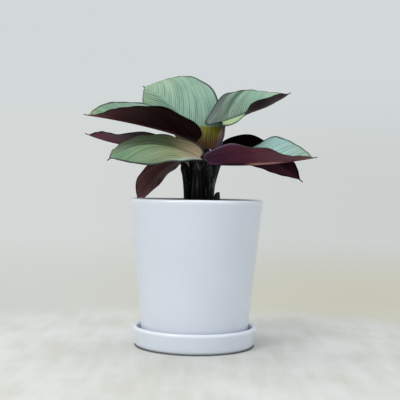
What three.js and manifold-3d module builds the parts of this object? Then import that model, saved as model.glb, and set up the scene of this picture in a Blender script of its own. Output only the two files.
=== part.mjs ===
// A potted calathea: nine broad leaves on short dark stalks, in a glazed pot that stands on a glazed saucer.
// Millimetres, +Z up. The origin is on the ground under the pot's centre, and the front is -Y.
import * as THREE from "three";
import { mergeVertices } from "three/addons/utils/BufferGeometryUtils.js";
import Module from "manifold-3d";

const wasm = await Module();
wasm.setup();

// ---- Driving dimensions ----
const GAP = 0.3; // between pieces that touch
const WELD = 1e-4; // points nearer than this are one point
const NEARLY_STRAIGHT = 1e-6; // added to a curl, so that a straight half is a very large circle
const ROUND_SIDES = 48; // of the pot, the saucer and the soil
const ARC_STEPS = 5; // of each rounded corner of their profiles

const SAUCER = { radius: 62.5, footRadius: 60, height: 20, wall: 4.6, floor: 6, footRound: 3.5 };
const POT = { rimRadius: 67.5, footRadius: 53, height: 141, wall: 5, floor: 7, footRound: 4, drainRadius: 9 };
const SOIL = {
  depthBelowRim: 11,
  mound: 4, // how much higher the middle is
  rings: 6,
  clearance: 0.4, // from the pot's wall
  footBevel: 6, // clears the rounded corner inside the pot
  lumpHeight: 1.1,
  lumpSize: [19, 21.7],
};

const BLADE = {
  thickness: 0.8,
  baseHalfWidth: 2.2, // where the stalk joins it
  tipHalfWidth: 0.4,
  rows: 20,
  rowCrowding: 0.1, // how far the rows are drawn towards the two ends
  columns: 10,
  dripTip: 0.03, // the share of the length that is the narrow drip tip
  dripFlare: 8, // how fast the drip tip widens
  flatBelow: 6, // where a half is narrower than this, its fold and curl fade out with its width
  widestAt: 0.5,
  lobeFill: 4, // how soon the lobe is full along the margin
  lobeFade: 5, // how soon it is gone again
};
const STALK = {
  soilRadius: 3.7,
  neckRadius: 3,
  neckAt: 0.88, // where the stalk starts to thin out under the blade
  endRadius: 1.2,
  sides: 8,
  steps: 12,
  rootDepth: 20,
  uprightShare: 0.5, // of its climb, how much it keeps to the way it leaves the soil
  knee: [7, 15], // the size of its bend under the blade, along the midrib and down
  lap: 4, // how far it runs on under the midrib
  clearance: 0.5,
};

// A leaf's midrib runs from base to tip and bends towards a point between them. Faces says which way the
// blade's top faces at its base and at its tip. Left and right are seen from above, with the tip ahead. Fold
// is how steeply a half stands up from the midrib, curl is how far that slope falls again on the way to the
// margin (or rises, below 0), and both are lists of degrees from the base to the tip. Lobe is how far the
// margins reach back past the stalk, droop is the share of that by which they also sink, and root is where
// the stalk leaves the soil. A half may have an outline and a lobe of its own.
const LEAVES = {
  left_upper: {
    base: [0.2, -7, 206], bend: [-51, -9, 223], tip: [-114, -10, 230],
    faces: [[0, 0, 1], [0, 0, 1]],
    left: {
      width: 38, fold: [41, 35, 29, 20, 4], curl: [5, 5], wave: 1, waves: 3, phase: 0.1,
      outline: [0.42, 2.5, 1.05],
    },
    right: { width: 36, fold: [44, 41, 54], curl: [5, 5], wave: 1.2, waves: 3, phase: 0.6 },
    lobe: 5, outline: [0.42, 3.2, 0.9], root: [-2.6, -7.8],
  },
  back_tall: {
    base: [9.7, 20, 198.6], bend: [-21, 39, 245.6], tip: [-60.4, 64, 267.6],
    faces: [[0.25, -1, 0.2], [0, -0.8, 0.6]],
    left: { width: 28, fold: [0, -72, -24], curl: [5, 5], wave: 1, waves: 3, phase: 0.1 },
    right: {
      width: 48, fold: [6, 12, 0, -5], curl: [8, 8], wave: 0.8, waves: 2, phase: 0.5,
      outline: [0.5, 4.8, 0.8], lobe: 14,
    },
    lobe: 8, outline: [0.74, 3.6, 0.8], root: [4.8, -2.4],
  },
  right_upper: {
    base: [24.2, 2, 225.5], bend: [60, 24, 240], tip: [99.8, 60, 262.8],
    faces: [[0.1, -0.3, 1], [0, 0, 1]],
    left: {
      width: 38, fold: [2, 28, 30], curl: [5, 5], wave: 1, waves: 3, phase: 0.2,
      outline: [0.32, 2.7, 1.05],
    },
    right: {
      width: 25, fold: [0, -4, -16, -10], curl: [0, -90, -100, -60], wave: 1, waves: 3, phase: 0.2, lobe: 7,
    },
    lobe: 13.5, droop: 0.42, outline: [0.42, 2.7, 1.05], root: [13, -1],
  },
  left_front: {
    base: [3, -24, 188], bend: [-51, -53, 213], tip: [-82.5, -77, 182.5],
    faces: [[0.1, -0.25, 1], [0.1, -0.25, 1]],
    left: { width: 32, fold: [-2, -12, -24, -32], curl: [5, 5], wave: 0.8, waves: 2, phase: 0.2 },
    right: {
      width: 34, fold: [46, 20, 5, -3, -12, -24], curl: [5, 5], wave: 0.8, waves: 2, phase: 0.5, lobe: 9,
    },
    lobe: 3, outline: [0.42, 2.7, 1.05], root: [3, -15],
  },
  right_front: {
    base: [11, -22, 183.4], bend: [60, -28, 180], tip: [117, -34, 190.4],
    faces: [[0, 0, 1], [0, 0, 1]],
    left: {
      width: 40, fold: [25, 26, 48, 60], curl: [5, 5], wave: 1, waves: 3, phase: 0.2,
      outline: [0.64, 2.7, 1.05],
    },
    right: { width: 36, fold: [40, 12], curl: [5, 5], wave: 1.5, waves: 3, phase: 0.5, lobe: 8 },
    lobe: 4, outline: [0.42, 2.7, 1.05], root: [10.4, -11],
  },
  left_hanging: {
    base: [-12.8, 2, 188], bend: [-43, 26, 183], tip: [-63, 55, 138],
    faces: [[-0.2, 0.2, 1], [-0.4, 0.4, 0.8]],
    left: { width: 21, fold: [10, 10], curl: [5, 5], wave: 1, waves: 3, phase: 0.2 },
    right: { width: 20.5, fold: [10, 10], curl: [5, 5], wave: 1, waves: 3, phase: 0.5 },
    lobe: 1, outline: [0.42, 2.7, 1.05], root: [-9, -1],
  },
  left_middle: {
    base: [-5, 11, 200], bend: [-70, 21, 195.5], tip: [-117.5, 29, 213.5],
    faces: [[0, 0, 1], [0, 0, 1]],
    left: { width: 32, fold: [30, 26, 22, 24], curl: [5, 5], wave: 1.8, waves: 2.2, phase: 0.44 },
    right: { width: 32, fold: [5, 5], curl: [2, 2], wave: 0.6, waves: 3, phase: 0.5 },
    lobe: 3, outline: [0.42, 2.7, 1.05], root: [-5.6, 6.5],
  },
  right_back: {
    base: [23.2, 13.6, 200], bend: [60, 33, 210.5], tip: [114.5, 60, 166.3],
    faces: [[0.1, 0.5, 0.8], [0.2, 0.5, 0.8]],
    left: { width: 30.5, fold: [10, 0], curl: [5, 5], wave: 1, waves: 3, phase: 0.2 },
    right: { width: 29.5, fold: [8, -8, 5], curl: [5, 5], wave: 1, waves: 3, phase: 0.5 },
    lobe: 2.5, outline: [0.36, 2.7, 1.05], root: [10.8, 7.4],
  },
  back_low: {
    base: [4, 27, 184], bend: [1, 72, 185], tip: [-10, 112, 183],
    faces: [[0, 0, 1], [0, 0, 1]],
    left: { width: 28, fold: [8, 8], curl: [5, 5], wave: 1, waves: 3, phase: 0.2 },
    right: { width: 28, fold: [8, 8], curl: [5, 5], wave: 1, waves: 3, phase: 0.5 },
    lobe: 4, outline: [0.42, 2.7, 1.05], root: [3, 7.5],
  },
};

// The dry stub of an old stalk, from inside the soil to its worn top.
const STUB = {
  root: [19.8, -6, 118],
  top: [20.6, -9, 155.5],
  radius: 3.6,
  topRadius: 2.6,
  wornPower: 6, // how late it narrows to the worn top
  steps: 6,
};

const MATERIALS = {
  glaze: new THREE.MeshStandardMaterial({ color: 0xd9dfe6, roughness: 0.18, metalness: 0 }),
  soil: new THREE.MeshStandardMaterial({ color: 0x2a2019, roughness: 0.95, metalness: 0 }),
  blade: new THREE.MeshStandardMaterial({ color: 0x8fb8a0, roughness: 0.5, metalness: 0 }),
  stalk: new THREE.MeshStandardMaterial({ color: 0x1d141b, roughness: 0.4, metalness: 0 }),
  stub: new THREE.MeshStandardMaterial({ color: 0x14100e, roughness: 0.8, metalness: 0 }),
};

// ---- Helpers ----
const radians = THREE.MathUtils.degToRad;
const lerp = THREE.MathUtils.lerp;
const turn = 2 * Math.PI;
const vector = (numbers) => new THREE.Vector3(...numbers);

function surface(points, faces) {
  const geometry = new THREE.BufferGeometry().setFromPoints(points);
  geometry.setIndex(faces);
  geometry.computeVertexNormals();
  return geometry;
}

function solidFrom(geometry) {
  const bare = new THREE.BufferGeometry().setAttribute("position", geometry.getAttribute("position"));
  bare.setIndex(geometry.index);
  const welded = mergeVertices(bare, WELD);
  const mesh = new wasm.Mesh({
    numProp: 3,
    vertProperties: new Float32Array(welded.attributes.position.array),
    triVerts: new Uint32Array(welded.index.array),
  });
  return new wasm.Manifold(mesh);
}

function geometryFrom(solid) {
  const mesh = solid.getMesh();
  const geometry = new THREE.BufferGeometry();
  geometry.setAttribute("position", new THREE.BufferAttribute(mesh.vertProperties, 3));
  geometry.setIndex(new THREE.BufferAttribute(mesh.triVerts, 1));
  geometry.computeVertexNormals();
  return geometry;
}

// Turns a path of (radius, height) round the Z axis.
function turned(path) {
  const all = path.getPoints(ARC_STEPS);
  const points = all.filter((point, i) => i === 0 || point.distanceTo(all[i - 1]) > WELD);
  const geometry = new THREE.LatheGeometry(points, ROUND_SIDES);
  geometry.rotateX(Math.PI / 2);
  return geometry;
}

// A closed surface from rings of points: each ring joins the next, and a flat fan closes each end.
function ringsGeometry(rings) {
  const sides = rings[0].length;
  const last = (rings.length - 1) * sides;
  const faces = [];
  for (let start = 0; start < last; start += sides) {
    for (let j = 0; j < sides; j++) {
      const a = start + j;
      const b = start + ((j + 1) % sides);
      faces.push(a, b, a + sides, b, b + sides, a + sides);
    }
  }
  for (let j = 1; j + 1 < sides; j++) {
    faces.push(0, j + 1, j);
    faces.push(last, last + j, last + j + 1);
  }
  return surface(rings.flat(), faces);
}

// ---- Saucer, pot and soil ----
const saucerLipZ = SAUCER.height - SAUCER.wall / 2;
const saucerOuter = (z) => lerp(SAUCER.footRadius, SAUCER.radius, z / saucerLipZ);
const saucerInner = (z) => saucerOuter(z) - SAUCER.wall;

const potFootZ = SAUCER.floor + GAP;
const potRimZ = potFootZ + POT.height;
const potLipZ = potRimZ - POT.wall / 2;
const potOuter = (z) => lerp(POT.footRadius, POT.rimRadius, (z - potFootZ) / (potLipZ - potFootZ));
const potInner = (z) => potOuter(z) - POT.wall;
const soilTopZ = potRimZ - SOIL.depthBelowRim;

function saucerGeometry() {
  const { radius, footRadius, wall, floor, footRound } = SAUCER;
  const cornerTop = floor + footRound;
  const path = new THREE.Path();
  path.moveTo(0, 0);
  path.lineTo(footRadius - footRound, 0);
  path.quadraticCurveTo(footRadius, 0, saucerOuter(footRound), footRound);
  path.lineTo(radius, saucerLipZ);
  path.absarc(radius - wall / 2, saucerLipZ, wall / 2, 0, Math.PI, false);
  path.lineTo(saucerInner(cornerTop), cornerTop);
  path.quadraticCurveTo(saucerInner(floor), floor, saucerInner(floor) - footRound, floor);
  path.lineTo(0, floor);
  return turned(path);
}

function potGeometry() {
  const { rimRadius, footRadius, wall, footRound, drainRadius } = POT;
  const innerFloor = potFootZ + POT.floor;
  const cornerTop = innerFloor + footRound;
  const path = new THREE.Path();
  path.moveTo(drainRadius, potFootZ);
  path.lineTo(footRadius - footRound, potFootZ);
  path.quadraticCurveTo(footRadius, potFootZ, potOuter(potFootZ + footRound), potFootZ + footRound);
  path.lineTo(rimRadius, potLipZ);
  path.absarc(rimRadius - wall / 2, potLipZ, wall / 2, 0, Math.PI, false);
  path.lineTo(potInner(cornerTop), cornerTop);
  path.quadraticCurveTo(potInner(innerFloor), innerFloor, potInner(innerFloor) - footRound, innerFloor);
  path.lineTo(drainRadius, innerFloor);
  path.lineTo(drainRadius, potFootZ);
  return turned(path);
}

// The soil's top is a low mound with lumps, level at the pot's wall. The stalks stand in plain holes in it.
function soilGeometry(stalkHoles) {
  const { mound, rings, clearance, footBevel, lumpHeight, lumpSize } = SOIL;
  const bottom = potFootZ + POT.floor + GAP;
  const edge = potInner(soilTopZ) - clearance;
  const path = new THREE.Path();
  path.moveTo(0, bottom);
  path.lineTo(potInner(bottom) - footBevel, bottom);
  path.lineTo(potInner(bottom + footBevel) - clearance, bottom + footBevel);
  for (let k = rings; k >= 0; k--) {
    path.lineTo((edge * k) / rings, soilTopZ + mound * Math.cos((turn / 4) * (k / rings)));
  }
  const geometry = turned(path);
  const points = geometry.getAttribute("position");
  for (let i = 0; i < points.count; i++) {
    const [x, y, z] = [points.getX(i), points.getY(i), points.getZ(i)];
    const lump = Math.sin((turn * x) / lumpSize[0]) * Math.cos((turn * y) / lumpSize[1]);
    if (z > soilTopZ + WELD) points.setZ(i, z + lumpHeight * lump);
  }
  return geometryFrom(stalkHoles.reduce((soil, hole) => soil.subtract(hole), solidFrom(geometry)));
}

// ---- Leaves ----
// A list of values spread evenly from the blade's base to its tip, read at s between 0 and 1.
function spread(values, s) {
  const spans = values.length - 1;
  const i = Math.min(Math.floor(s * spans), spans - 1);
  return lerp(values[i], values[i + 1], THREE.MathUtils.smoothstep(s * spans, i, i + 1));
}

// The midrib's place and directions at s, from 0 at the blade's base to 1 at its tip.
function midrib(leaf, s) {
  const curve = new THREE.QuadraticBezierCurve3(vector(leaf.base), vector(leaf.bend), vector(leaf.tip));
  const along = curve.getTangent(s);
  const faces = vector(leaf.faces[0]).lerp(vector(leaf.faces[1]), s);
  const side = faces.cross(along).normalize();
  return { place: curve.getPoint(s), along, side, up: along.clone().cross(side) };
}

// How wide a half of the blade is at s, as a share of its widest.
function widthShare(leaf, half, s) {
  const [blunt, late, sharp] = half.outline ?? leaf.outline;
  const shape = (t) => t ** blunt * (1 - t ** late) ** sharp;
  return shape(Math.min(1, s / (1 - BLADE.dripTip))) / shape(BLADE.widestAt);
}

// The least half width: where the stalk joins, and in the drip tip.
function leastWidth(s) {
  return Math.min(BLADE.baseHalfWidth, BLADE.tipHalfWidth + BLADE.dripFlare * (1 - s));
}

// How far a point of the blade lies back towards the stalk, because the margins reach round it in two lobes.
function lobeBack(leaf, half, s, reach) {
  const filled = 1 - (1 - Math.min(1, widthShare(leaf, half, s))) ** BLADE.lobeFill;
  return (half.lobe ?? leaf.lobe) * reach ** 2 * filled * (1 - s) ** BLADE.lobeFade;
}

// The blade's middle surface and its normal at s and v, where v is 1 at the left margin and -1 at the right.
function bladePoint(leaf, s, v) {
  const { place, along, side, up } = midrib(leaf, s);
  const sign = v < 0 ? -1 : 1;
  const half = v < 0 ? leaf.right : leaf.left;
  const reach = Math.abs(v);
  const share = widthShare(leaf, half, s);
  const width = Math.max(leastWidth(s), half.width * share);
  const open = Math.min(1, width / BLADE.flatBelow);
  const fold = open * radians(spread(half.fold, s));
  const curl = open * radians(spread(half.curl, s)) + NEARLY_STRAIGHT;
  const slope = fold - curl * reach;
  const out = (width * (Math.sin(fold) - Math.sin(slope))) / curl;
  const lift = (width * (Math.cos(slope) - Math.cos(fold))) / curl;
  const wave = half.wave * reach ** 2 * Math.sqrt(share) * Math.sin(turn * (half.waves * s + half.phase));
  const tilt = reach > 0 ? slope : 0;
  const normal = up.clone().multiplyScalar(Math.cos(tilt)).addScaledVector(side, -sign * Math.sin(tilt));
  const back = lobeBack(leaf, half, s, reach);
  place
    .addScaledVector(along, -back)
    .addScaledVector(side, sign * out)
    .addScaledVector(up, lift - back * (leaf.droop ?? 0))
    .addScaledVector(normal, wave);
  return { place, normal };
}

// One ring of points per row: across the top from the left margin to the right one, and back underneath.
function bladeRings(leaf) {
  const rings = [];
  for (let i = 0; i <= BLADE.rows; i++) {
    const even = i / BLADE.rows;
    const s = even - BLADE.rowCrowding * Math.sin(turn * even);
    const across = [];
    for (let j = 0; j <= BLADE.columns; j++) across.push(bladePoint(leaf, s, 1 - (2 * j) / BLADE.columns));
    const shifted = (point, by) => point.place.clone().addScaledVector(point.normal, by);
    const top = across.map((point) => shifted(point, BLADE.thickness / 2));
    const under = across.map((point) => shifted(point, -BLADE.thickness / 2));
    rings.push([...top, ...under.reverse()]);
  }
  return rings;
}

// The blade's two faces are split along the same diagonals, so that a waved blade keeps its thickness.
function bladeGeometry(leaf) {
  const { rows, columns } = BLADE;
  const ring = 2 * (columns + 1);
  const under = (j) => ring - 1 - j;
  const faces = [];
  const quad = (a, b, c, d) => faces.push(a, b, c, a, c, d);
  for (let i = 0; i < rows; i++) {
    const [here, next] = [i * ring, (i + 1) * ring];
    for (let j = 0; j < columns; j++) {
      faces.push(here + j, here + j + 1, next + j, here + j + 1, next + j + 1, next + j);
      quad(here + under(j + 1), here + under(j), next + under(j), next + under(j + 1));
    }
    quad(here + under(0), here, next, next + under(0));
    quad(here + columns, here + under(columns), next + under(columns), next + columns);
  }
  const last = rows * ring;
  for (let j = 0; j < columns; j++) {
    quad(j + 1, j, under(j), under(j + 1));
    quad(last + j, last + j + 1, last + under(j + 1), last + under(j));
  }
  return surface(bladeRings(leaf).flat(), faces);
}

// From inside the soil, straight up at first, to a little way along the underside of the midrib.
function stalkCurve(leaf) {
  const { place, along, up } = midrib(leaf, 0);
  const below = STALK.endRadius + BLADE.thickness / 2 + STALK.clearance;
  const root = new THREE.Vector3(leaf.root[0], leaf.root[1], soilTopZ - STALK.rootDepth);
  const end = place.addScaledVector(along, STALK.lap).addScaledVector(up, -below);
  const rise = (point, by) => point.add(new THREE.Vector3(0, 0, by));
  const upright = rise(root.clone(), STALK.uprightShare * (end.z - root.z));
  const bend = rise(end.clone().addScaledVector(along, -STALK.knee[0]), -STALK.knee[1]);
  return new THREE.CubicBezierCurve3(root, upright, bend, end);
}

// A round stem along a curve. RadiusAt gives its radius at u, from 0 at the root to 1 at the top.
function stemGeometry(curve, steps, radiusAt) {
  const { normals, binormals } = curve.computeFrenetFrames(steps, false);
  const rings = [];
  for (let i = 0; i <= steps; i++) {
    const centre = curve.getPointAt(i / steps);
    const radius = radiusAt(i / steps);
    const ring = [];
    for (let j = 0; j < STALK.sides; j++) {
      const angle = (turn * j) / STALK.sides;
      const point = centre.clone().addScaledVector(normals[i], radius * Math.cos(angle));
      ring.push(point.addScaledVector(binormals[i], radius * Math.sin(angle)));
    }
    rings.push(ring);
  }
  return ringsGeometry(rings);
}

function stalkGeometry(curve, extra = 0) {
  const { soilRadius, neckRadius, neckAt, endRadius } = STALK;
  const lower = (u) => lerp(soilRadius, neckRadius, u / neckAt);
  const upper = (u) => lerp(neckRadius, endRadius, (u - neckAt) / (1 - neckAt));
  return stemGeometry(curve, STALK.steps, (u) => extra + (u < neckAt ? lower(u) : upper(u)));
}

function stubGeometry(extra = 0) {
  const { root, top, radius, topRadius, wornPower, steps } = STUB;
  const curve = new THREE.LineCurve3(vector(root), vector(top));
  return stemGeometry(curve, steps, (u) => extra + lerp(radius, topRadius, u ** wornPower));
}

// ---- The plant in its pot ----
const plant = new THREE.Group();

function place(name, geometry, material) {
  const mesh = new THREE.Mesh(geometry, material);
  mesh.name = name;
  plant.add(mesh);
}

place("saucer", saucerGeometry(), MATERIALS.glaze);
place("pot", potGeometry(), MATERIALS.glaze);
const holes = [];
for (const [name, leaf] of Object.entries(LEAVES)) {
  const curve = stalkCurve(leaf);
  place(`${name}_blade`, bladeGeometry(leaf), MATERIALS.blade);
  place(`${name}_stalk`, stalkGeometry(curve), MATERIALS.stalk);
  holes.push(solidFrom(stalkGeometry(curve, GAP)));
}
place("old_stub", stubGeometry(), MATERIALS.stub);
holes.push(solidFrom(stubGeometry(GAP)));
place("soil", soilGeometry(holes), MATERIALS.soil);

export default plant;
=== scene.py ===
import math

import bpy
import numpy as np
from mathutils import Matrix, Vector


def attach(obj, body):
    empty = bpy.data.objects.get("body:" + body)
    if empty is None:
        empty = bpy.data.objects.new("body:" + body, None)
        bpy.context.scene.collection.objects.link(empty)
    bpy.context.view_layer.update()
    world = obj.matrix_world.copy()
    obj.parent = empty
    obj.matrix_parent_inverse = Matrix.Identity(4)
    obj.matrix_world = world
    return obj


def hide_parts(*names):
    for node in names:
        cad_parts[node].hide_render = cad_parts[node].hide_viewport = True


# A potted calathea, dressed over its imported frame. Shapes are worked out in millimetres, as in the part's
# source, and meshes are made in metres. +Z is up, and -Y is the front.
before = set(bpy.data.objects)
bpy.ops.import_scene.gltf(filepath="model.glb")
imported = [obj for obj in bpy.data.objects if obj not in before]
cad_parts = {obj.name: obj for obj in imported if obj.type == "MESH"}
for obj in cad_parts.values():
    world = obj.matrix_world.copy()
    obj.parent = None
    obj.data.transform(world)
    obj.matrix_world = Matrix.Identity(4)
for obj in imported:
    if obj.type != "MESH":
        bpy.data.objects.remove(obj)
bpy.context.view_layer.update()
mm = 0.001
turn = 2 * math.pi
gap = 0.3  # between pieces that stand on each other, in millimetres
print("frame loaded:", len(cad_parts), "nodes")


def paint(red, green, blue):
    # a screen colour, 0 to 255, as Blender's own linear colour
    shares = [value / 255 for value in (red, green, blue)]
    linear = [c / 12.92 if c <= 0.0404 else ((c + 0.055) / 1.055) ** 2.4 for c in shares]
    return (*linear, 1.0)


# materials: a socket that can be written in sums, and a recipe that makes the nodes
class Wire:
    def __init__(self, recipe, socket):
        self.recipe = recipe
        self.socket = socket

    def __add__(self, other):
        return self.recipe.sum("ADD", self, other)

    def __radd__(self, other):
        return self.recipe.sum("ADD", other, self)

    def __sub__(self, other):
        return self.recipe.sum("SUBTRACT", self, other)

    def __rsub__(self, other):
        return self.recipe.sum("SUBTRACT", other, self)

    def __mul__(self, other):
        return self.recipe.sum("MULTIPLY", self, other)

    def __rmul__(self, other):
        return self.recipe.sum("MULTIPLY", other, self)

    def __truediv__(self, other):
        return self.recipe.sum("DIVIDE", self, other)

    def __rtruediv__(self, other):
        return self.recipe.sum("DIVIDE", other, self)


class Recipe:
    def __init__(self, tree):
        self.tree = tree
        tree.nodes.clear()

    def feed(self, socket, value):
        if isinstance(value, Wire):
            self.tree.links.new(value.socket, socket)
        else:
            socket.default_value = value

    def add(self, kind, settings=None, sockets=None, output=0):
        node = self.tree.nodes.new(kind)
        for name, value in (settings or {}).items():
            if name == "stops":
                while len(node.color_ramp.elements) < len(value):
                    node.color_ramp.elements.new(1)
                for element, (place, colour) in zip(node.color_ramp.elements, value):
                    element.position = place
                    element.color = colour
            else:
                setattr(node, name, value)
        for name, value in (sockets or {}).items():
            self.feed(node.inputs[name], value)
        return Wire(self, node.outputs[output]) if node.outputs else node

    def sum(self, operation, *values):
        return self.add("ShaderNodeMath", {"operation": operation}, dict(enumerate(values)))

    def ramp(self, value, stops):
        return self.add("ShaderNodeValToRGB", {"stops": stops}, {0: value})

    def mix(self, first, second, share):
        settings = {"data_type": "RGBA", "blend_type": "MIX", "clamp_factor": True}
        return self.add("ShaderNodeMix", settings, {0: share, 6: first, 7: second}, 2)

    # 0 where the value is at or below low, 1 at or above high
    def between(self, value, low, high):
        settings = {"interpolation_type": "SMOOTHSTEP"}
        return self.add("ShaderNodeMapRange", settings, {0: value, 1: low, 2: high, 3: 0.0, 4: 1.0})

    def vector(self, x, y, z):
        return self.add("ShaderNodeCombineXYZ", None, {0: x, 1: y, 2: z})

    def parts(self, vector):
        node = self.tree.nodes.new("ShaderNodeSeparateXYZ")
        self.feed(node.inputs[0], vector)
        return [Wire(self, output) for output in node.outputs]

    def attribute(self, name, output="Vector"):
        return self.add("ShaderNodeAttribute", {"attribute_name": name}, None, output)

    def place(self):
        return self.add("ShaderNodeNewGeometry", None, None, "Position")

    def noise(self, place, scale, detail=2.0, roughness=0.5):
        return self.add("ShaderNodeTexNoise", None,
                        {"Vector": place, "Scale": scale, "Detail": detail, "Roughness": roughness})

    def bump(self, height, strength, distance):
        sockets = {"Height": height, "Strength": strength, "Distance": distance}
        return self.add("ShaderNodeBump", None, sockets)


# the recipe of one surface
class Surface(Recipe):
    def __init__(self, name):
        self.material = bpy.data.materials.new(name)
        self.material.use_nodes = True
        super().__init__(self.material.node_tree)
        self.shader = self.tree.nodes.new("ShaderNodeBsdfPrincipled")
        self.add("ShaderNodeOutputMaterial", None, {"Surface": Wire(self, self.shader.outputs[0])})

    def finish(self, **sockets):
        for name, value in sockets.items():
            self.feed(self.shader.inputs[name.replace("_", " ")], value)
        return self.material


# meshes
def meshPiece(name, points, faces, node, materials, materialOf=None, smooth=True):
    mesh = bpy.data.meshes.new(name)
    mesh.from_pydata((np.asarray(points) * mm).tolist(), [], [list(map(int, face)) for face in faces])
    for material in materials:
        mesh.materials.append(material)
    if materialOf is not None:
        mesh.polygons.foreach_set("material_index", np.asarray(materialOf, np.int32))
    mesh.polygons.foreach_set("use_smooth", np.full(len(faces), smooth))
    mesh.update()
    piece = bpy.data.objects.new(name, mesh)
    bpy.context.scene.collection.objects.link(piece)
    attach(piece, "root")
    if node:
        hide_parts(node)
    return piece


def markPoints(piece, name, values):
    values = np.asarray(values, np.float32)
    kind = "FLOAT_VECTOR" if values.ndim == 2 else "FLOAT"
    attribute = piece.data.attributes.new(name, kind, "POINT")
    attribute.data.foreach_set("vector" if values.ndim == 2 else "value", values.ravel())


def unit(vectors):
    return vectors / np.linalg.norm(vectors, axis=-1, keepdims=True)


def lerp(a, b, share):
    return a + (b - a) * share


def smooth(low, high, value):
    part = np.clip((value - low) / (high - low), 0, 1)
    return part * part * (3 - 2 * part)


# uneven swells: a sum of waves in seeded directions, from about -1 to 1
def swells(points, size, seed, count=12):
    draw = np.random.default_rng(seed)
    points = np.asarray(points, float)
    ways = unit(draw.normal(size=(count, points.shape[-1]))) * draw.uniform(0.7, 1.5, (count, 1))
    return np.cos(points @ ways.T * turn / size + draw.uniform(0, turn, count)).sum(-1) / math.sqrt(2 * count)


def curvePoints(first, control, last, steps):
    t = np.linspace(0, 1, steps + 1)[:, None]
    first, control, last = (np.array(p, float) for p in (first, control, last))
    return (1 - t) ** 2 * first + 2 * (1 - t) * t * control + t * t * last


def arcPoints(centre, radius, start, end, steps):
    angles = np.radians(np.linspace(start, end, steps + 1))
    return np.stack([centre[0] + radius * np.cos(angles), centre[1] + radius * np.sin(angles)], 1)


def straight(first, last, steps):
    return lerp(np.array(first, float), np.array(last, float), np.linspace(0, 1, steps + 1)[:, None])


def joinPath(*runs):
    path = [runs[0][0]]
    for point in np.concatenate(runs):
        if np.linalg.norm(point - path[-1]) > 1e-4:
            path.append(point)
    return np.array(path)


# turns a (radius, height) path round the Z axis; a closed path makes a ring, an open one starts and ends
# on the axis
def turnedPoints(path, sides, closed):
    ring = np.radians(np.arange(sides) * 360 / sides)
    body = path if closed else path[1:-1]
    points = np.stack([np.outer(body[:, 0], np.cos(ring)), np.outer(body[:, 0], np.sin(ring)),
                       np.repeat(body[:, 1:2], sides, 1)], -1).reshape(-1, 3)
    rows = len(body)
    faces = []
    for i in range(rows if closed else rows - 1):
        a, b = i * sides, (i + 1) % rows * sides
        for j in range(sides):
            k = (j + 1) % sides
            faces.append((a + j, a + k, b + k, b + j))
    if not closed:
        low, high = len(points), len(points) + 1
        points = np.vstack([points, [[0, 0, path[0][1]], [0, 0, path[-1][1]]]])
        last = (rows - 1) * sides
        for j in range(sides):
            k = (j + 1) % sides
            faces.append((low, k, j))
            faces.append((high, last + j, last + k))
    return points, faces


# glazed pot and saucer
saucer = {"radius": 62.5, "footRadius": 60, "height": 20, "wall": 4.6, "floor": 6, "footRound": 3.5,
          "sides": 160}
pot = {"rimRadius": 67.5, "footRadius": 53, "height": 141, "wall": 5, "floor": 7, "footRound": 4,
       "drainRadius": 9, "sides": 176, "unevenness": 0.12}
soil = {"depthBelowRim": 11, "mound": 4, "clearance": 0.4, "footBevel": 6, "lumpHeight": 1.1,
        "lumpSize": (19, 21.7), "rings": 70, "sides": 150, "crumbs": 1500, "crumbSize": 0.35,
        "crumbSpread": 1.5}

saucerLipZ = saucer["height"] - saucer["wall"] / 2
potFootZ = saucer["floor"] + gap
potRimZ = potFootZ + pot["height"]
potLipZ = potRimZ - pot["wall"] / 2
soilTopZ = potRimZ - soil["depthBelowRim"]


def saucerOuter(z):
    return lerp(saucer["footRadius"], saucer["radius"], z / saucerLipZ)


def potOuter(z):
    return lerp(pot["footRadius"], pot["rimRadius"], (z - potFootZ) / (potLipZ - potFootZ))


def saucerInner(z):
    return saucerOuter(z) - saucer["wall"]


def potInner(z):
    return potOuter(z) - pot["wall"]


# the dark brown is painted shade inside the pot under the rim and on the saucer's floor by the pot
# the lighter white is painted light on the rims and on the pot's low wall
glazeLook = {"white": (214, 221, 232), "thin": (206, 213, 223), "lip": (238, 243, 250), "stain": (34, 30, 27),
             "bare": (206, 198, 184), "roughness": 0.14}


def glazeMaterial():
    look = glazeLook
    r = Surface("whiteGlaze")
    place = r.place()
    pooled = r.noise(place, 22.0, 3.0)
    speckle = r.noise(place, 900.0, 1.0)
    bare = r.attribute("bare", "Fac")
    lip = r.attribute("lip", "Fac")
    stain = r.attribute("stain", "Fac")
    colour = r.mix(paint(*look["white"]), paint(*look["thin"]), r.between(pooled, 0.35, 0.8) * 0.35)
    # painted light: a lighter white on the rims and on the pot's low wall
    colour = r.mix(colour, paint(*look["lip"]), lip)
    colour = r.mix(colour, paint(*look["bare"]), r.between(speckle, 0.72, 0.78) * 0.25)
    # painted shade: dark brown on the pot's inner wall under the rim and faintly on the saucer's floor,
    # broken up by noise
    shadeBreakup = r.noise(place, 160.0, 4.0, 0.65)
    paintedShadeMask = r.between(stain + (shadeBreakup - 0.5) * 0.5 * stain, 0.05, 0.75)
    colour = r.mix(colour, paint(*look["stain"]), paintedShadeMask * 0.92)
    biscuit = r.between(bare + (speckle - 0.5) * 0.3, 0.4, 0.6)
    colour = r.mix(colour, paint(*look["bare"]), biscuit)
    dull = r.sum("MAXIMUM", biscuit, paintedShadeMask * 0.8)
    ripples = r.noise(place, 60.0, 2.0) + speckle * 0.03
    return r.finish(Base_Color=colour, Roughness=dull * 0.6 + look["roughness"] + pooled * 0.05,
                    Coat_Weight=(1 - dull) * 0.5, Coat_Roughness=0.05, IOR=1.52,
                    Normal=r.bump(ripples, 0.12, 0.0006))


whiteGlaze = glazeMaterial()


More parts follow.
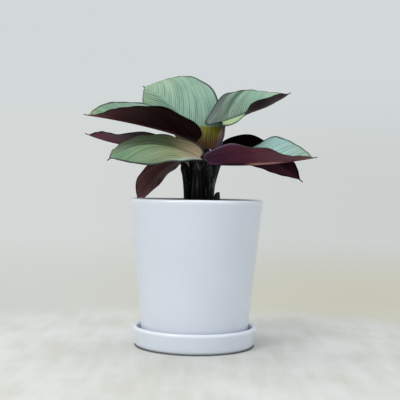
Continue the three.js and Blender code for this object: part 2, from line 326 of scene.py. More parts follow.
def makeSaucer():
    s = saucer
    corner = s["floor"] + s["footRound"]
    lipMiddle = s["radius"] - s["wall"] / 2
    path = joinPath(
        straight((0, 0), (s["footRadius"] - s["footRound"], 0), 8),
        curvePoints((s["footRadius"] - s["footRound"], 0), (s["footRadius"], 0),
                    (saucerOuter(s["footRound"]), s["footRound"]), 10),
        straight((saucerOuter(s["footRound"]), s["footRound"]), (s["radius"], saucerLipZ), 10),
        arcPoints((lipMiddle, saucerLipZ), s["wall"] / 2, 0, 180, 16),
        straight((saucerInner(saucerLipZ), saucerLipZ), (saucerInner(corner), corner), 6),
        curvePoints((saucerInner(corner), corner), (saucerInner(s["floor"]), s["floor"]),
                    (saucerInner(s["floor"]) - s["footRound"], s["floor"]), 8),
        straight((saucerInner(s["floor"]) - s["footRound"], s["floor"]), (0, s["floor"]), 8))
    points, faces = turnedPoints(path, s["sides"], False)
    piece = meshPiece("glazedSaucer", points, faces, "saucer", [whiteGlaze])
    radius = np.hypot(points[:, 0], points[:, 1])
    z = points[:, 2]
    inside = (z > s["floor"] - 0.1) & (radius < saucerInner(z) + 0.4)
    markPoints(piece, "bare", (z < 0.25) * smooth(s["footRadius"] - 9, s["footRadius"] - 6, radius))
    # painted light: a lighter band on the saucer's rim, and the whole saucer a little lighter
    markPoints(piece, "lip", np.maximum(smooth(saucerLipZ - 2.5, s["height"] - 0.8, z), 0.14))
    # painted shade: the saucer's floor darkened faintly between the pot and the saucer's wall
    markPoints(piece, "stain", inside * 0.1 * smooth(potInner(10), saucerInner(7), radius)
               * (1 - smooth(7, 13, z)))
    print("saucer made")


def makePot():
    p = pot
    innerFloor = potFootZ + p["floor"]
    foot, corner = potFootZ + p["footRound"], innerFloor + p["footRound"]
    lipMiddle = p["rimRadius"] - p["wall"] / 2
    path = joinPath(
        straight((p["drainRadius"], potFootZ), (p["footRadius"] - p["footRound"], potFootZ), 8),
        curvePoints((p["footRadius"] - p["footRound"], potFootZ), (p["footRadius"], potFootZ),
                    (potOuter(foot), foot), 8),
        straight((potOuter(foot), foot), (p["rimRadius"], potLipZ), 48),
        arcPoints((lipMiddle, potLipZ), p["wall"] / 2, 0, 180, 16),
        straight((potInner(potLipZ), potLipZ), (potInner(corner), corner), 40),
        curvePoints((potInner(corner), corner), (potInner(innerFloor), innerFloor),
                    (potInner(innerFloor) - p["footRound"], innerFloor), 6),
        straight((potInner(innerFloor) - p["footRound"], innerFloor), (p["drainRadius"], innerFloor), 6),
        straight((p["drainRadius"], innerFloor), (p["drainRadius"], potFootZ), 4)[:-1])
    points, faces = turnedPoints(path, p["sides"], True)
    radius = np.hypot(points[:, 0], points[:, 1])
    z = points[:, 2]
    inside = radius < potOuter(z) - p["wall"] / 2
    # a hand-finished wall is never quite straight
    sway = p["unevenness"] * swells(points / [1, 1, 2], 70, 4) * smooth(potFootZ, potFootZ + 20, z)
    sway *= 1 - smooth(potLipZ - 10, potLipZ, z)
    points[:, :2] *= (1 - np.abs(sway) / radius)[:, None]
    piece = meshPiece("glazedPot", points, faces, "pot", [whiteGlaze])
    ring = smooth(p["footRadius"] - 10, p["footRadius"] - 7, radius)
    markPoints(piece, "bare", (z < potFootZ + 0.2) * ring)
    # painted light: a lighter band on the rim, and the low wall lightened where the saucer shades it
    low = 0.6 * (1 - smooth(13, 23, z)) + 0.13 * (1 - smooth(20, 110, z))
    markPoints(piece, "lip", np.maximum(smooth(potLipZ - 1, potRimZ - 0.8, z), low))
    # painted shade: the inner wall made dark just below the rim
    markPoints(piece, "stain", inside * (1 - smooth(potRimZ - 1.7, potRimZ - 0.3, z)))
    print("pot made")


# soil
soilLook = {"dark": (30, 23, 18), "brown": (62, 47, 34), "dry": (96, 78, 58)}


def soilMaterial():
    look = soilLook
    r = Surface("pottingMix")
    place = r.place()
    grains = r.noise(place, 520.0, 4.0, 0.7)
    patches = r.noise(place, 60.0, 2.0)
    tone = grains * 0.65 + patches * 0.35
    colour = r.ramp(tone, [(0.35, paint(*look["dark"])), (0.55, paint(*look["brown"])),
                           (0.74, paint(*look["dry"]))])
    return r.finish(Base_Color=colour, Roughness=0.82 + grains * 0.15, Normal=r.bump(grains, 0.9, 0.0012))


def crumbMaterial():
    r = Surface("barkCrumbs")
    tint = r.attribute("tint", "Fac")
    grain = r.noise(r.place(), 900.0, 3.0, 0.6)
    colour = r.ramp(tint, [(0.0, paint(34, 25, 19)), (0.4, paint(66, 46, 30)), (0.75, paint(98, 72, 48)),
                           (0.93, paint(122, 96, 66)), (0.96, paint(214, 210, 200))])
    colour = r.mix(colour, paint(20, 15, 12), r.between(grain, 0.5, 0.75) * 0.5)
    return r.finish(Base_Color=colour, Roughness=0.75 + grain * 0.2, Normal=r.bump(grain, 0.6, 0.0004))


def soilHeight(x, y):
    edge = potInner(soilTopZ) - soil["clearance"]
    share = np.clip(np.hypot(x, y) / edge, 0, 1)
    inner = 1 - smooth(0.93, 1.0, share)
    height = soilTopZ + soil["mound"] * np.cos(turn / 4 * share)
    lumpX, lumpY = soil["lumpSize"]
    height += inner * soil["lumpHeight"] * np.sin(turn * x / lumpX) * np.cos(turn * y / lumpY)
    place = np.stack([x, y], -1)
    return height + inner * (0.55 * swells(place, 6.5, 11) + 0.35 * swells(place, 2.8, 12, 20))


def makeSoil():
    s = soil
    bottom = potFootZ + pot["floor"] + gap
    edge = potInner(soilTopZ) - s["clearance"]
    foot = (potInner(bottom) - s["footBevel"], bottom)
    corner = (potInner(bottom + s["footBevel"]) - s["clearance"], bottom + s["footBevel"])
    path = joinPath(
        straight((0, bottom), foot, 2),
        straight(foot, corner, 1),
        straight(corner, (edge, soilTopZ), 3),
        straight((edge, soilTopZ), (0, soilTopZ), s["rings"]))
    points, faces = turnedPoints(path, s["sides"], False)
    top = points[:, 2] >= soilTopZ - 1e-6
    points[top, 2] = soilHeight(points[top, 0], points[top, 1])
    meshPiece("pottingSoil", points, faces, "soil", [soilMaterial()])

    draw = np.random.default_rng(5)
    ball = icosahedron()
    crumbPoints, crumbFaces, tints = [], [], []
    for _ in range(s["crumbs"]):
        size = s["crumbSize"] + s["crumbSpread"] * draw.random() ** 3
        radius = (edge - 3) * math.sqrt(draw.random())
        angle = turn * draw.random()
        x, y = radius * math.cos(angle), radius * math.sin(angle)
        shape = ball[0] * draw.uniform(0.55, 1.25, (12, 1)) * size
        shape = shape * draw.uniform([0.7, 0.7, 0.35], [1.5, 1.0, 0.8])
        heading = turn * draw.random()
        cos, sin = math.cos(heading), math.sin(heading)
        shape = shape @ np.array([[cos, sin, 0], [-sin, cos, 0], [0, 0, 1]])
        start = 12 * len(tints)
        crumbPoints.append(shape + [x, y, float(soilHeight(np.array(x), np.array(y))) + 0.25 * size])
        crumbFaces += [tuple(start + i for i in face) for face in ball[1]]
        tints.append(draw.random())
    crumbs = meshPiece("soilCrumbs", np.concatenate(crumbPoints), crumbFaces, None, [crumbMaterial()],
                       smooth=False)
    markPoints(crumbs, "tint", np.repeat(tints, 12))
    print("soil made, with", s["crumbs"], "crumbs")


def icosahedron():
    g = (1 + math.sqrt(5)) / 2
    corners = [(-1, g, 0), (1, g, 0), (-1, -g, 0), (1, -g, 0), (0, -1, g), (0, 1, g), (0, -1, -g), (0, 1, -g),
               (g, 0, -1), (g, 0, 1), (-g, 0, -1), (-g, 0, 1)]
    faces = [(0, 11, 5), (0, 5, 1), (0, 1, 7), (0, 7, 10), (0, 10, 11), (1, 5, 9), (5, 11, 4), (11, 10, 2),
             (10, 7, 6), (7, 1, 8), (3, 9, 4), (3, 4, 2), (3, 2, 6), (3, 6, 8), (3, 8, 9), (4, 9, 5),
             (2, 4, 11), (6, 2, 10), (8, 6, 7), (9, 8, 1)]
    return unit(np.array(corners, float)), faces


# leaves
blade = {"thickness": 0.8, "marginThickness": 0.45, "baseHalfWidth": 2.2, "tipHalfWidth": 0.4,
         "dripTip": 0.03, "dripFlare": 8, "flatBelow": 6, "widestAt": 0.5, "lobeFill": 4, "lobeFade": 5,
         "rows": 112, "rowCrowding": 0.1, "columns": 28, "columnCrowding": 0.11,
         "pleat": 4.6, "pleatHeight": 0.16, "ribHeight": 1.5, "ribWidth": 1.25, "grooveDepth": 0.3,
         "grooveWidth": 0.9, "marginRuffle": 0.25, "ruffleLength": 17}
stalk = {"soilRadius": 3.7, "neckRadius": 3, "neckAt": 0.88, "endRadius": 1.2, "rootDepth": 20,
         "uprightShare": 0.5, "knee": (7, 15), "lap": 4, "clearance": 0.5, "sides": 30, "steps": 72,
         "knuckleAt": 0.88, "knuckleLength": 0.05, "knuckleSwell": 0.5, "knucklePaleness": 0.15,
         "channel": 0.2, "channelWidth": 0.55, "edgeHeight": 0.05, "edgeAt": 0.95, "edgeWidth": 0.25,
         "sheath": 2.6, "sheathWidth": 0.4, "sheathSpan": (0.25, 0.92), "plantMiddle": (5.0, -2.0)}

# The leaf's shape is as in the part's source. Top and under are colours from the base to the tip, on the
# screen's scale, and the right half may have ramps of its own, which carry painted light or painted shade on
# that half as well as its colour. Veins are the dark and the pale lines on top. Feathers are dark stripes
# along the veins: how far along the midrib they start, half their width, their strength and their own colour.
leaves = {
    "left_upper": {
        "base": (0.2, -7, 206), "bend": (-51, -9, 223), "tip": (-114, -10, 230),
        "faces": ((0, 0, 1), (0, 0, 1)),
        "left": {"width": 38, "fold": (41, 35, 29, 20, 4), "curl": (5, 5), "wave": 1, "waves": 3,
                 "phase": 0.1, "outline": (0.42, 2.5, 1.05)},
        "right": {"width": 36, "fold": (44, 41, 54), "curl": (5, 5), "wave": 1.2, "waves": 3, "phase": 0.6},
        "lobe": 5, "outline": (0.42, 3.2, 0.9), "root": (-2.6, -7.8),
        "top": ((0, (120, 136, 108)), (0.2, (158, 174, 165)), (0.5, (154, 178, 166)), (0.78, (120, 156, 128)),
                (0.9, (132, 166, 132)), (0.98, (172, 170, 118))),
        "under": ((0, (16, 7, 8)), (0.4, (29, 12, 13)), (0.68, (54, 22, 26)), (0.86, (90, 42, 50)),
                  (0.95, (116, 74, 56)), (0.99, (160, 134, 92))),
        "feathers": ((26, 3.5, 0.35), (46, 3, 0.4)), "underMargin": (7, 6, 6), "underMarginWidth": 2.2,
        "underPaleness": 0.25, "underShine": 0.07,
    },
    "back_tall": {
        "base": (9.7, 20, 198.6), "bend": (-21, 39, 245.6), "tip": (-60.4, 64, 267.6),
        "faces": ((0.25, -1, 0.2), (0, -0.8, 0.6)),
        "left": {"width": 28, "fold": (0, -72, -24), "curl": (5, 5), "wave": 1, "waves": 3, "phase": 0.1,
                 "lean": 3.5},
        "right": {"width": 48, "fold": (6, 12, 0, -5), "curl": (8, 8), "wave": 0.8, "waves": 2, "phase": 0.5,
                  "outline": (0.5, 4.8, 0.8), "lobe": 14},
        "lobe": 8, "outline": (0.74, 3.6, 0.8), "root": (4.8, -2.4),
        "top": ((0, (128, 160, 140)), (0.35, (131, 166, 147)), (0.7, (139, 174, 152)),
                (0.97, (150, 178, 142))),
        "under": ((0, (40, 16, 22)), (0.5, (66, 26, 40)), (0.97, (90, 45, 50))),
        "olive": {"below": 223, "high": (130, 130, 24), "low": (96, 60, 22)},
        "vein": (72, 108, 90), "veining": 0.8, "ribbing": 0, "spacing": 2.2, "sheath": 5, "sheathAt": 1.57,
    },
    "right_upper": {
        "base": (24.2, 2, 225.5), "bend": (60, 24, 240), "tip": (99.8, 60, 262.8),
        "faces": ((0.1, -0.3, 1), (0, 0, 1)),
        "left": {"width": 38, "fold": (2, 28, 30), "curl": (5, 5), "wave": 1, "waves": 3, "phase": 0.2,
                 "outline": (0.32, 2.7, 1.05)},
        "right": {"width": 25, "fold": (0, -4, -16, -10), "curl": (0, -90, -100, -60), "wave": 1, "waves": 3,
                  "phase": 0.2, "lobe": 7},
        "lobe": 13.5, "droop": 0.42, "outline": (0.42, 2.7, 1.05), "root": (13, -1),
        "top": ((0, (62, 75, 68)), (0.16, (86, 103, 95)), (0.4, (120, 150, 130)), (0.75, (146, 184, 160)),
                (0.95, (172, 192, 148))),
        # the right half's lighter yellow-green is partly the lobe's own colour and partly painted light on
        # the lit lobe
        "topRight": ((0, (166, 188, 124)), (0.2, (160, 191, 144)), (0.5, (144, 180, 150)),
                     (0.95, (172, 192, 148))),
        "under": ((0, (14, 8, 12)), (0.5, (24, 12, 19)), (0.97, (50, 26, 38))),
        "feathers": ((-21, 12, 0.85, (74, 80, 84)), (-34, 7, 0.7, (52, 76, 60)),
                     (-13, 2.5, 0.6, (50, 70, 58)), (-1, 5.5, 0.95, (54, 82, 60)),
                     (12, 3.5, 0.35, (80, 110, 86))),
        # its dark rib colour is a painted shade line in the midrib's groove
        "ribAndShadeLine": (44, 70, 46), "ribWidth": 2, "ribbing": 0.9, "veining": 0.5, "knuckle": 1, "sheath": 0,
    },
    "left_front": {
        "base": (3, -24, 188), "bend": (-51, -53, 213), "tip": (-82.5, -77, 182.5),
        "faces": ((0.1, -0.25, 1), (0.1, -0.25, 1)),
        "left": {"width": 32, "fold": (-2, -12, -24, -32), "curl": (5, 5), "wave": 0.8, "waves": 2,
                 "phase": 0.2},
        "right": {"width": 34, "fold": (46, 20, 5, -3, -12, -24), "curl": (5, 5), "wave": 0.8, "waves": 2,
                  "phase": 0.5, "lobe": 9},
        "lobe": 3, "outline": (0.42, 2.7, 1.05), "root": (3, -15),
        "top": ((0, (206, 178, 150)), (0.14, (192, 178, 142)), (0.3, (144, 156, 112)),
                (0.55, (117, 142, 105)), (0.8, (110, 147, 114)), (0.97, (114, 158, 124))),
        # the far right half is darker in its middle: a painted shadow cast by the leaf above; its tan base
        # and its tip are its own colour
        "topRight": ((0, (206, 180, 150)), (0.12, (160, 152, 120)), (0.26, (72, 86, 60)),
                     (0.62, (50, 71, 48)), (0.82, (92, 120, 92)), (0.97, (110, 146, 112))),
        "under": ((0, (50, 18, 30)), (0.5, (74, 28, 44)), (0.97, (96, 44, 50))),
        # its dark rib colour is a painted shade line in the midrib's crease
        "vein": (72, 80, 50), "veining": 0.75, "ribAndShadeLine": (54, 68, 48), "ribbing": 0.5, "lean": 4.5, "sweep": 1.5,
        "pale": (184, 204, 154), "paleness": 0.4, "baseStreak": (128, 58, 46), "teal": (190, 214, 204),
        "feather": (62, 78, 54), "feathering": 0.45,
    },
    "right_front": {
        "base": (11, -22, 183.4), "bend": (60, -28, 180), "tip": (117, -34, 190.4),
        "faces": ((0, 0, 1), (0, 0, 1)),
        "left": {"width": 40, "fold": (25, 26, 48, 60), "curl": (5, 5), "wave": 1, "waves": 3, "phase": 0.2,
                 "outline": (0.64, 2.7, 1.05)},
        "right": {"width": 36, "fold": (40, 12), "curl": (5, 5), "wave": 1.5, "waves": 3, "phase": 0.5,
                  "lobe": 8},
        "lobe": 4, "outline": (0.42, 2.7, 1.05), "root": (10.4, -11),
        "top": ((0, (158, 174, 144)), (0.2, (154, 189, 180)), (0.7, (156, 193, 188)),
                (0.97, (156, 178, 154))),
        # the bluish purple at the base of the underside is partly its own tint and partly a painted sheen
        "under": ((0, (78, 47, 76)), (0.2, (84, 43, 64)), (0.5, (98, 45, 62)), (0.8, (90, 35, 54)),
                  (0.97, (128, 84, 70))),
        # the dark start of the under rib is a painted shadow under the midrib's keel
        "underRib": (178, 134, 122), "underRibBaseShade": (16, 9, 14), "underRibWidth": 2.6,
        "underRibSpan": (0.02, 0.75), "underRibbing": 0.8,
        # the lighter violet along the margin near the base is a painted highlight
        "underMarginHighlight": (112, 86, 110), "underMargin": (66, 58, 46), "underMarginWidth": 1.8,
        "vein": (70, 104, 106), "veining": 0.85, "spacing": 2, "lean": 1.8, "feathering": 0.1,
        "paleness": 0.2,
    },
    "left_hanging": {
        "base": (-12.8, 2, 188), "bend": (-43, 26, 183), "tip": (-63, 55, 138),
        "faces": ((-0.2, 0.2, 1), (-0.4, 0.4, 0.8)),
        "left": {"width": 21, "fold": (10, 10), "curl": (5, 5), "wave": 1, "waves": 3, "phase": 0.2},
        "right": {"width": 20.5, "fold": (10, 10), "curl": (5, 5), "wave": 1, "waves": 3, "phase": 0.5},
        "lobe": 1, "outline": (0.42, 2.7, 1.05), "root": (-9, -1),
        "top": ((0, (110, 130, 96)), (0.3, (96, 132, 106)), (0.97, (104, 138, 112))),
        "under": ((0, (56, 30, 34)), (0.5, (98, 56, 58)), (0.97, (100, 56, 64))),
        "lean": 3.2, "underPaleness": 1, "underPale": (196, 148, 142), "underRibbing": 0.3,
    },
    "left_middle": {
        "base": (-5, 11, 200), "bend": (-70, 21, 195.5), "tip": (-117.5, 29, 213.5),
        "faces": ((0, 0, 1), (0, 0, 1)),
        "left": {"width": 32, "fold": (30, 26, 22, 24), "curl": (5, 5), "wave": 1.8, "waves": 2.2,
                 "phase": 0.44},
        "right": {"width": 32, "fold": (5, 5), "curl": (2, 2), "wave": 0.6, "waves": 3, "phase": 0.5},
        "lobe": 3, "outline": (0.42, 2.7, 1.05), "root": (-5.6, 6.5),
        "top": ((0, (170, 176, 170)), (0.3, (176, 184, 178)), (0.6, (130, 160, 140)),
                (0.97, (120, 154, 130))),
        "under": ((0, (16, 12, 14)), (0.45, (30, 17, 26)), (0.62, (64, 24, 46)), (0.8, (96, 32, 60)),
                  (0.97, (96, 42, 58))),
        "underMargin": (8, 8, 9), "underMarginWidth": 2.6,
    },
    "right_back": {
        "base": (23.2, 13.6, 200), "bend": (60, 33, 210.5), "tip": (114.5, 60, 166.3),
        "faces": ((0.1, 0.5, 0.8), (0.2, 0.5, 0.8)),
        "left": {"width": 30.5, "fold": (10, 0), "curl": (5, 5), "wave": 1, "waves": 3, "phase": 0.2},
        "right": {"width": 29.5, "fold": (8, -8, 5), "curl": (5, 5), "wave": 1, "waves": 3, "phase": 0.5},
        "lobe": 2.5, "outline": (0.36, 2.7, 1.05), "root": (10.8, 7.4),
        "top": ((0, (128, 146, 104)), (0.2, (118, 150, 130)), (0.97, (120, 154, 130))),
        # both under ramps are near black towards the base: painted shade; the maroon towards the tip is the
        # underside's own colour
        "under": ((0, (8, 6, 9)), (0.45, (18, 11, 16)), (0.6, (52, 28, 40)), (0.8, (64, 34, 46)),
                  (0.97, (66, 36, 46))),
        "underRight": ((0, (3, 3, 5)), (0.5, (5, 4, 7)), (0.7, (16, 9, 12)), (0.97, (50, 28, 34))),
        "underRibbing": 0.1, "underPaleness": 0.15, "underMargin": (4, 4, 5), "underMarginWidth": 2,
        "underShine": 0,
    },
    "back_low": {
        "base": (4, 27, 184), "bend": (1, 72, 185), "tip": (-10, 112, 183),
        "faces": ((0, 0, 1), (0, 0, 1)),
        "left": {"width": 28, "fold": (8, 8), "curl": (5, 5), "wave": 1, "waves": 3, "phase": 0.2},
        "right": {"width": 28, "fold": (8, 8), "curl": (5, 5), "wave": 1, "waves": 3, "phase": 0.5},
        "lobe": 4, "outline": (0.42, 2.7, 1.05), "root": (3, 7.5),
        "top": ((0, (128, 146, 104)), (0.2, (118, 150, 130)), (0.97, (120, 154, 130))),
        "under": ((0, (28, 14, 20)), (0.5, (60, 30, 40)), (0.97, (84, 44, 54))),
    },
}


# a list of values spread evenly from the blade's base to its tip, read at s between 0 and 1
def spread(values, s):
    values = np.array(values, float)
    spans = len(values) - 1
    i = np.clip(np.floor(s * spans), 0, spans - 1).astype(int)
    return lerp(values[i], values[i + 1], smooth(0, 1, s * spans - i))


def midrib(leaf, s):
    s = np.asarray(s, float)[..., None]
    base, bend, tip = (np.array(leaf[name], float) for name in ("base", "bend", "tip"))
    place = (1 - s) ** 2 * base + 2 * (1 - s) * s * bend + s * s * tip
    along = unit((1 - s) * (bend - base) + s * (tip - bend))
    faces = lerp(np.array(leaf["faces"][0], float), np.array(leaf["faces"][1], float), s)
    side = unit(np.cross(faces, along))
    return place, along, side, np.cross(along, side)


# reads something of the half that each point lies in: the left one where v is above 0
def ofHalf(leaf, v, read):
    return np.where(v < 0, read({**leaf, **leaf["right"]}), read({**leaf, **leaf["left"]}))


def widthShare(leaf, s, v):
    def share(half):
        blunt, late, sharp = half["outline"]

        def shape(t):
            return t ** blunt * (1 - t ** late) ** sharp

        return shape(np.minimum(1, s / (1 - blade["dripTip"]))) / shape(blade["widestAt"])

    return ofHalf(leaf, v, share)


def halfWidth(leaf, s, v):
    least = np.minimum(blade["baseHalfWidth"], blade["tipHalfWidth"] + blade["dripFlare"] * (1 - s))
    return np.maximum(least, ofHalf(leaf, v, lambda half: half["width"]) * widthShare(leaf, s, v))


# the blade's middle surface, with its normals
def bladeSurface(leaf, s, v):
    place, along, side, up = midrib(leaf, s)
    sign = np.where(v < 0, -1.0, 1.0)
    reach = np.abs(v)
    share = widthShare(leaf, s, v)
    width = halfWidth(leaf, s, v)
    spreadOut = np.minimum(1, width / blade["flatBelow"])
    fold = spreadOut * np.radians(ofHalf(leaf, v, lambda half: spread(half["fold"], s)))
    curl = spreadOut * np.radians(ofHalf(leaf, v, lambda half: spread(half["curl"], s))) + 1e-6
    slope = fold - curl * reach
    out = width * (np.sin(fold) - np.sin(slope)) / curl
    lift = width * (np.cos(slope) - np.cos(fold)) / curl
    swing = ofHalf(leaf, v, lambda half: half["wave"] * np.sin(turn * (half["waves"] * s + half["phase"])))
    wave = swing * reach ** 2 * np.sqrt(share)
    tilt = np.where(reach > 0, slope, 0)
    normal = up * np.cos(tilt)[..., None] - side * (sign * np.sin(tilt))[..., None]
    filled = 1 - (1 - np.minimum(1, share)) ** blade["lobeFill"]
    back = ofHalf(leaf, v, lambda half: half["lobe"]) * reach ** 2 * filled * (1 - s) ** blade["lobeFade"]
    place = place - along * back[..., None] + side * (sign * out)[..., None]
    sunk = lift - back * leaf.get("droop", 0)
    return place + up * sunk[..., None] + normal * wave[..., None], normal


def rampStops(stops):
    return [(place, paint(*colour)) for place, colour in stops]


# what a leaf's paint is where its own dictionary says nothing
bladeLook = {"spacing": 2.4, "fineWidth": 0.95, "fineLength": 30, "threadWidth": 0.42, "threadLength": 18,
             "bandWidth": 5, "bandLength": 50, "lean": 1.15, "sweep": 0.7,
             "vein": (64, 96, 78), "veining": 0.65, "pale": (206, 226, 204), "paleness": 0.35,
             "feather": (76, 100, 84), "feathering": 0.25, "margin": (28, 44, 36), "marginWidth": 2.1,
             "ribAndShadeLine": (146, 160, 118), "ribWidth": 1.0, "ribbing": 0.5,
             "underVein": (10, 5, 8), "underPale": (150, 90, 104), "underPaleness": 0.5,
             "underRib": (96, 56, 58), "underRibWidth": 1.3, "underRibbing": 0.5, "underRibSpan": (0.1, 1.2),
             "underShine": 0.12, "underMargin": (12, 10, 12), "underMarginWidth": 1.2}


# the lines and bands that run along the veins, from the vein coordinates that makeBlade gives each point
def veinMarks(r, look, seed):
    path, across, s = r.parts(r.attribute("veinPath"))
    _, toMargin, half = r.parts(r.attribute("bladeEdge"))
    distance = r.sum("ABSOLUTE", across)
    leftHalf = r.between(half, -0.02, 0.02)
    pattern = leftHalf * 4.3 + seed
    fine = r.noise(r.vector(path / look["fineWidth"], distance / look["fineLength"], pattern), 1.0, 3.0, 0.6)
    threads = r.noise(r.vector(path / look["threadWidth"], distance / look["threadLength"], pattern + 9),
                      1.0, 2.0)
    bands = r.noise(r.vector(path / look["bandWidth"], distance / look["bandLength"], pattern + 3), 1.0, 2.0)
    wave = r.sum("SINE", path * (turn / look["spacing"]) + (fine - 0.5) * 5.0)
    return {"path": path, "distance": distance, "s": s, "toMargin": toMargin, "leftHalf": leftHalf,
            "fine": fine, "threads": threads, "bands": bands, "wave": wave}


# the colour along the leaf, where the right half may have its own, with painted light or painted shade on
# that half
def groundColour(r, m, look, side, jitter):
    along = m["s"] + (m["bands"] - 0.5) * jitter
    colour = r.ramp(along, rampStops(look[side]))
    if side + "Right" in look:
        colour = r.mix(r.ramp(along, rampStops(look[side + "Right"])), colour, m["leftHalf"])
    return colour


def marginLine(r, m, width):
    return 1 - r.between(m["toMargin"] + (m["fine"] - 0.5) * 0.6, width * 0.5, width * 1.4)


def bladeTopMaterial(name, leaf, seed):
    look = {**bladeLook, **leaf}
    r = Surface(name)
    m = veinMarks(r, look, seed)
    blotch = r.noise(r.place(), 45.0, 3.0)
    colour = groundColour(r, m, look, "top", 0.1)
    colour = r.mix(colour, paint(*look["feather"]),
                   r.between(m["bands"] + (blotch - 0.5) * 0.3, 0.5, 0.72) * look["feathering"])
    start = m["path"] + (blotch - 0.5) * 7.0 + (m["fine"] - 0.5) * 5.0
    share = m["leftHalf"] if "topRight" in look else 1
    for place, width, strength, *tint in look.get("feathers", ()):
        off = r.sum("ABSOLUTE", start - place)
        colour = r.mix(colour, paint(*(tint[0] if tint else look["feather"])),
                       (1 - r.between(off, width * 0.4, width * 1.2)) * strength * share)
    if "teal" in look:
        rim = (1 - r.between(m["toMargin"] + (blotch - 0.5) * 8, 2.0, 9.0)) * m["leftHalf"]
        colour = r.mix(colour, paint(*look["teal"]), rim * (1 - r.between(m["s"], 0.2, 0.5)) * 0.8)
    dark = r.between(m["wave"] * 0.32 + m["fine"], 0.56, 0.86) * look["veining"]
    if "baseStreak" in look:
        streaks = r.between(m["wave"] * 0.25 + m["fine"], 0.48, 0.72) * (1 - r.between(m["s"], 0.1, 0.34))
        colour = r.mix(colour, paint(*look["baseStreak"]), streaks * 0.75)
    colour = r.mix(colour, paint(*look["vein"]), dark + r.between(m["threads"], 0.5, 0.72) * 0.3)
    colour = r.mix(colour, paint(*look["pale"]), r.between(1 - m["fine"], 0.54, 0.72) * look["paleness"])
    # the midrib line: its own pale colour on most leaves, and a painted shade line in the crease where a leaf
    # gives it a dark colour
    ribAndShadeLine = (1 - r.between(m["distance"], look["ribWidth"] * 0.35, look["ribWidth"] * 1.2))
    colour = r.mix(colour, paint(*look["ribAndShadeLine"]), ribAndShadeLine * (1 - r.between(m["s"], 0.8, 0.98)) * look["ribbing"])
    if "olive" in look:
        _, _, z = r.parts(r.place())
        low = look["olive"]["below"] * mm
        olive = r.mix(paint(*look["olive"]["low"]), paint(*look["olive"]["high"]),
                      r.between(z + (m["threads"] - 0.5) * 0.012, low - 0.02, low - 0.003))
        olive = r.mix(olive, paint(30, 22, 10), dark + r.between(m["threads"], 0.5, 0.7) * 0.4)
        colour = r.mix(olive, colour, r.between(z + (m["fine"] - 0.5) * 0.004, low - 0.0012, low + 0.0012))
    colour = r.mix(colour, paint(*look["margin"]), marginLine(r, m, look["marginWidth"]) * 0.92)
    ridges = m["wave"] * 0.5 + m["fine"]
    return r.finish(Base_Color=colour, Roughness=0.46 + m["fine"] * 0.14, Specular_IOR_Level=0.3,
                    Normal=r.bump(ridges, 0.45, 0.00025))


def bladeUnderMaterial(name, leaf, seed):
    look = {**bladeLook, **leaf}
    r = Surface(name)
    m = veinMarks(r, look, seed)
    ground = groundColour(r, m, look, "under", 0.14)
    pale = r.between(m["wave"] * 0.3 + m["fine"], 0.55, 0.95) * look["underPaleness"]
    colour = r.mix(ground, r.mix(ground, paint(*look["underPale"]), 0.45), pale)
    colour = r.mix(colour, paint(*look["underVein"]), r.between(1 - m["fine"], 0.5, 0.72) * 0.45)
    width = look["underRibWidth"]
    ribAndShadeLine = 1 - r.between(m["distance"] + (m["fine"] - 0.5) * width, width * 0.4, width * 1.3)
    start, end = look["underRibSpan"]
    ribAndShadeLine = ribAndShadeLine * r.between(m["s"], start, start + 0.2) * (1 - r.between(m["s"], end - 0.15, end))
    # near the base the rib may take a painted shadow under the keel
    ribTone = r.mix(paint(*look.get("underRibBaseShade", look["underRib"])), paint(*look["underRib"]),
                    r.between(m["s"], 0.34, 0.46))
    colour = r.mix(colour, ribTone, ribAndShadeLine * look["underRibbing"])
    # near the base the margin may take a painted highlight
    margin = r.mix(paint(*look.get("underMarginHighlight", look["underMargin"])), paint(*look["underMargin"]),
                   r.between(m["s"], 0.25, 0.4))
    colour = r.mix(colour, margin, marginLine(r, m, look["underMarginWidth"]) * 0.85)
    ridges = m["wave"] * 0.4 + m["fine"]
    return r.finish(Base_Color=colour, Roughness=0.42 + m["fine"] * 0.16,
                    Specular_IOR_Level=look["underShine"], Normal=r.bump(ridges, 0.5, 0.0003))


